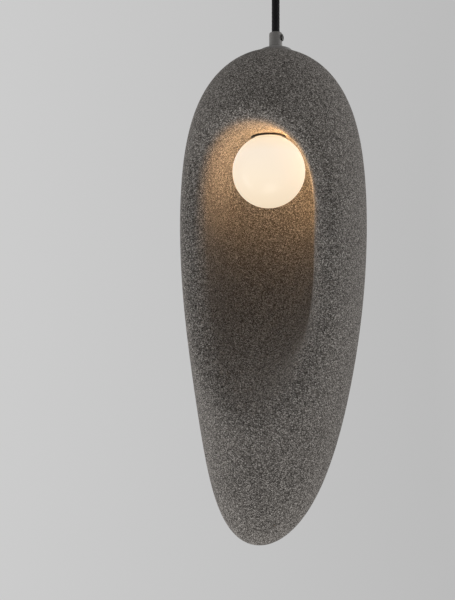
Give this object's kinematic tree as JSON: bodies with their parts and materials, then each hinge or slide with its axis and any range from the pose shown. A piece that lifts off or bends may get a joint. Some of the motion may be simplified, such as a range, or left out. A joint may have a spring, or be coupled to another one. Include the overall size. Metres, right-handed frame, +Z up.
{
  "type": "pendant ceiling light",
  "caption": "Egg-shaped mineral-resin pendant light with a scooped front, an opal glass globe under the scoop's ceiling, a textile cord and a round ceiling canopy.",
  "frame": {"origin": "centre of the ceiling bracket's face that lies on the ceiling, on the cord's axis", "axes": "+Z up, out of the bracket into the ceiling; the scoop opens towards -Y; X is across the shade, which is symmetric about the YZ plane"},
  "size_m": [0.2072, 0.1938, 0.65],
  "materials": {
    "mineral_resin": "speckled mineral coat, fine grained and matt",
    "grey_paint": "matt warm grey powder coat",
    "black_textile": "braided textile sleeve",
    "black_plastic": "moulded, satin",
    "zinc_steel": "zinc plated",
    "dark_steel": "blackened steel",
    "brass": "plain",
    "porcelain": "glazed white",
    "opal_glass": "satin opal glass, lit from inside",
    "lit_capsule": "lit lamp capsule",
    "silicone": "soft translucent ring",
    "brown_sleeve": "insulating sleeve",
    "blue_sleeve": "insulating sleeve",
    "earth_sleeve": "insulating sleeve"
  },
  "bodies": {
    "canopy": {"ceiling_bracket": "zinc_steel", "canopy_cover": "grey_paint", "cover_screw_right": "zinc_steel", "cover_screw_left": "zinc_steel", "cord_gland": "black_plastic", "gland_nut": "black_plastic", "gland_clamp_screw": "zinc_steel", "terminal_block": "porcelain", "terminal_screw": "zinc_steel", "earth_terminal": "brass", "earth_screw": "zinc_steel", "cord_tail": "black_textile", "live_wire": "brown_sleeve", "neutral_wire": "blue_sleeve", "earth_wire": "earth_sleeve"},
    "hanging_cord": {"cord": "black_textile"},
    "grip": {"cord_grip": "grey_paint", "grip_screw": "dark_steel", "cord_end": "black_textile"},
    "lamp": {"top_cap": "grey_paint", "threaded_nipple": "zinc_steel", "crown_washer": "zinc_steel", "crown_nut": "zinc_steel", "back_shell": "mineral_resin", "front_shell": "mineral_resin", "lamp_holder": "black_plastic", "holder_lock_ring": "black_plastic", "pin_socket": "porcelain", "socket_clamp": "zinc_steel", "clamp_screw_right": "zinc_steel", "clamp_screw_left": "zinc_steel", "inner_live_wire": "brown_sleeve", "inner_neutral_wire": "blue_sleeve", "bulb_base": "porcelain", "bulb_pin_right": "zinc_steel", "bulb_pin_left": "zinc_steel", "bulb_capsule": "lit_capsule"},
    "gasket": {"globe_gasket": "silicone"},
    "globe": {"opal_globe": "opal_glass"}
  },
  "joints": [
    {"name": "swing_side", "type": "hinge", "parent": "canopy", "child": "hanging_cord", "pos_m": [0, 0, -0.03], "axis": [0, 1, 0], "range_deg": [-20, 20]},
    {"name": "swing_front", "type": "hinge", "parent": "hanging_cord", "child": "grip", "pos_m": [0, 0, -0.09], "axis": [1, 0, 0], "range_deg": [-12, 12]},
    {"name": "turn", "type": "hinge", "parent": "grip", "child": "lamp", "pos_m": [0, 0, -0.1065], "axis": [0, 0, 1], "range_deg": [-170, 170]},
    {"name": "globe_drop", "type": "slide", "parent": "lamp", "child": "gasket", "axis": [0, 0, -1], "range_m": [0, 0.012]},
    {"name": "globe_turn", "type": "hinge", "parent": "gasket", "child": "globe", "pos_m": [0, -0.0252, -0.2513], "axis": [0, 0, 1], "range_deg": [0, 1080]}
  ],
  "couplings": [
    {"joint": "globe_turn", "follows": "globe_drop", "rad_per_m": 1570.8}
  ]
}
